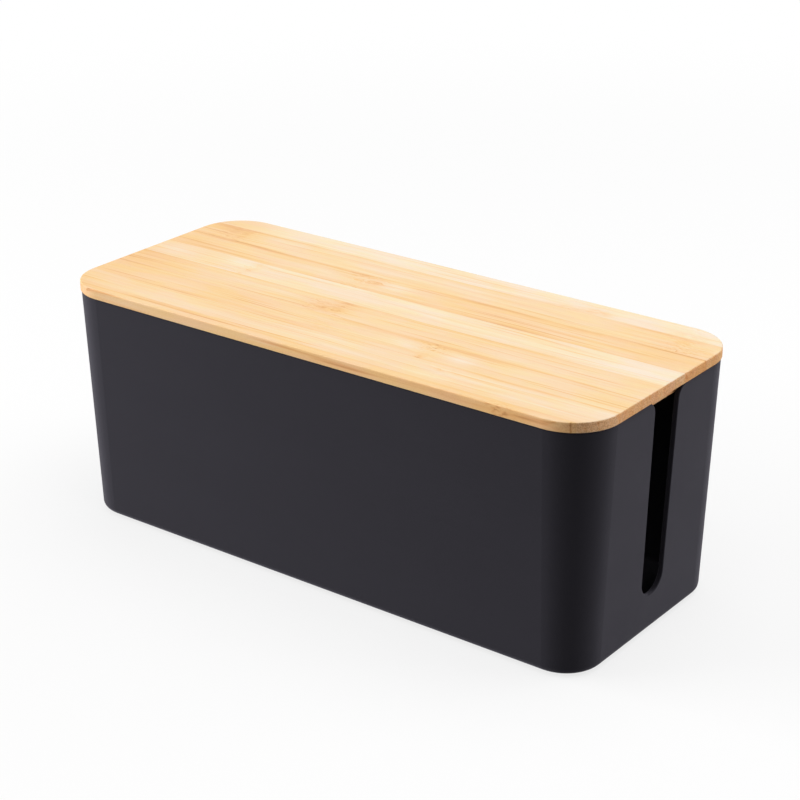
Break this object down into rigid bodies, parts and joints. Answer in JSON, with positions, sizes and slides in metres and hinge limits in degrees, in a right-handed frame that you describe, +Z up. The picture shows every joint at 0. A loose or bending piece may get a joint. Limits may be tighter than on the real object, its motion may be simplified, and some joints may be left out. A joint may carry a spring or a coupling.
{
  "type": "cable management box",
  "caption": "Open-topped plastic box with a cable slot in each end, rubber feet and a lift-off bamboo lid, for hiding a power strip and its cables.",
  "frame": {"origin": "middle of the footprint, on the surface that the feet stand on", "axes": "+X along the length, towards the right-hand cable slot; -Y towards the front; +Z up"},
  "size_m": [0.32, 0.135, 0.13],
  "materials": {
    "tub_plastic": "matte",
    "bamboo": "satin lacquer",
    "foot_rubber": "matte",
    "foot_adhesive": "matte"
  },
  "bodies": {
    "tub": {"box_body": "tub_plastic", "foot_front_left": "foot_rubber", "foot_front_right": "foot_rubber", "foot_back_left": "foot_rubber", "foot_back_right": "foot_rubber", "foot_tape_front_left": "foot_adhesive", "foot_tape_front_right": "foot_adhesive", "foot_tape_back_left": "foot_adhesive", "foot_tape_back_right": "foot_adhesive"},
    "lid": {"lid_top_strip_1": "bamboo", "lid_top_strip_2": "bamboo", "lid_top_strip_3": "bamboo", "lid_top_strip_4": "bamboo", "lid_top_strip_5": "bamboo", "lid_top_strip_6": "bamboo", "lid_top_strip_7": "bamboo", "lid_top_strip_8": "bamboo", "lid_lower_strip_1": "bamboo", "lid_lower_strip_2": "bamboo", "lid_lower_strip_3": "bamboo", "lid_lower_strip_4": "bamboo", "lid_lower_strip_5": "bamboo", "lid_lower_strip_6": "bamboo", "lid_lower_strip_7": "bamboo"}
  },
  "joints": [
    {"name": "lid_lift", "type": "slide", "parent": "tub", "child": "lid", "axis": [0, 0, 1], "range_m": [0, 0.15]}
  ]
}
